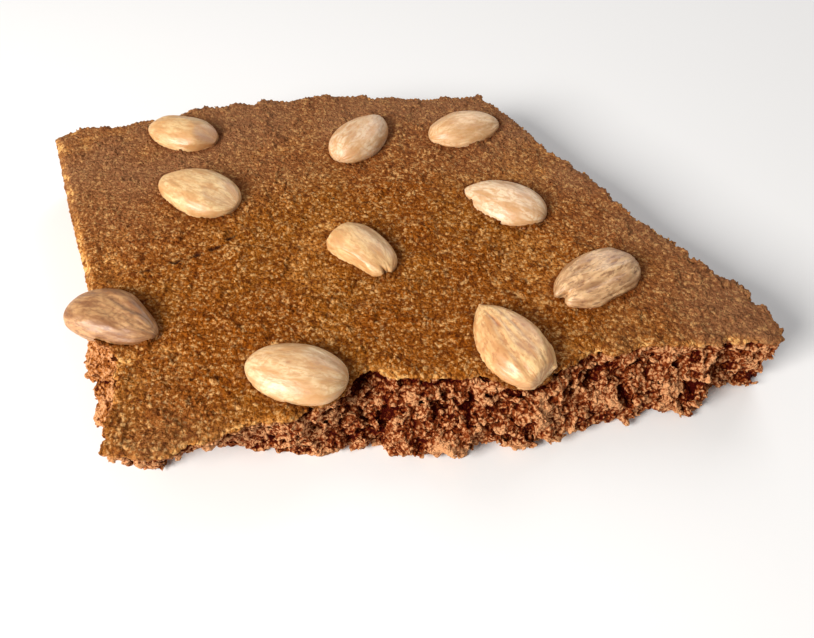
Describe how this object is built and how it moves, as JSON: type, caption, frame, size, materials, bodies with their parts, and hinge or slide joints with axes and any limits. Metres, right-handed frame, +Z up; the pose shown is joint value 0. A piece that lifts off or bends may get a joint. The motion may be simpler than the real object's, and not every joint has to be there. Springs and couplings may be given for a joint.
{
  "type": "speculaas cookie",
  "caption": "Broken slab of soft spiced speculaas with a thin brown crust, crumbly broken sides, one smooth baked edge and whole blanched almonds set in its top",
  "frame": {"origin": "centre of the bounding box's footprint, on the flat underside that the slab rests on", "axes": "+Z up out of the almond-strewn crust, +X along the slab's long way from the baked edge to the narrow broken tip, +Y from the front break to the back"},
  "size_m": [0.1912, 0.128, 0.0243],
  "materials": {
    "speculaas": "baked spiced dough: matte golden brown crust over open reddish brown crumb",
    "almond": "blanched almond, cream to tan, faintly ridged with a soft satin gloss"
  },
  "bodies": {
    "root": {"slab": "speculaas", "almond_back_left": "almond", "almond_upper_left": "almond", "almond_middle": "almond", "almond_left_edge": "almond", "almond_front_left": "almond", "almond_front_right": "almond", "almond_right": "almond", "almond_back_middle": "almond", "almond_upper_right": "almond", "almond_back_right": "almond"}
  },
  "joints": []
}
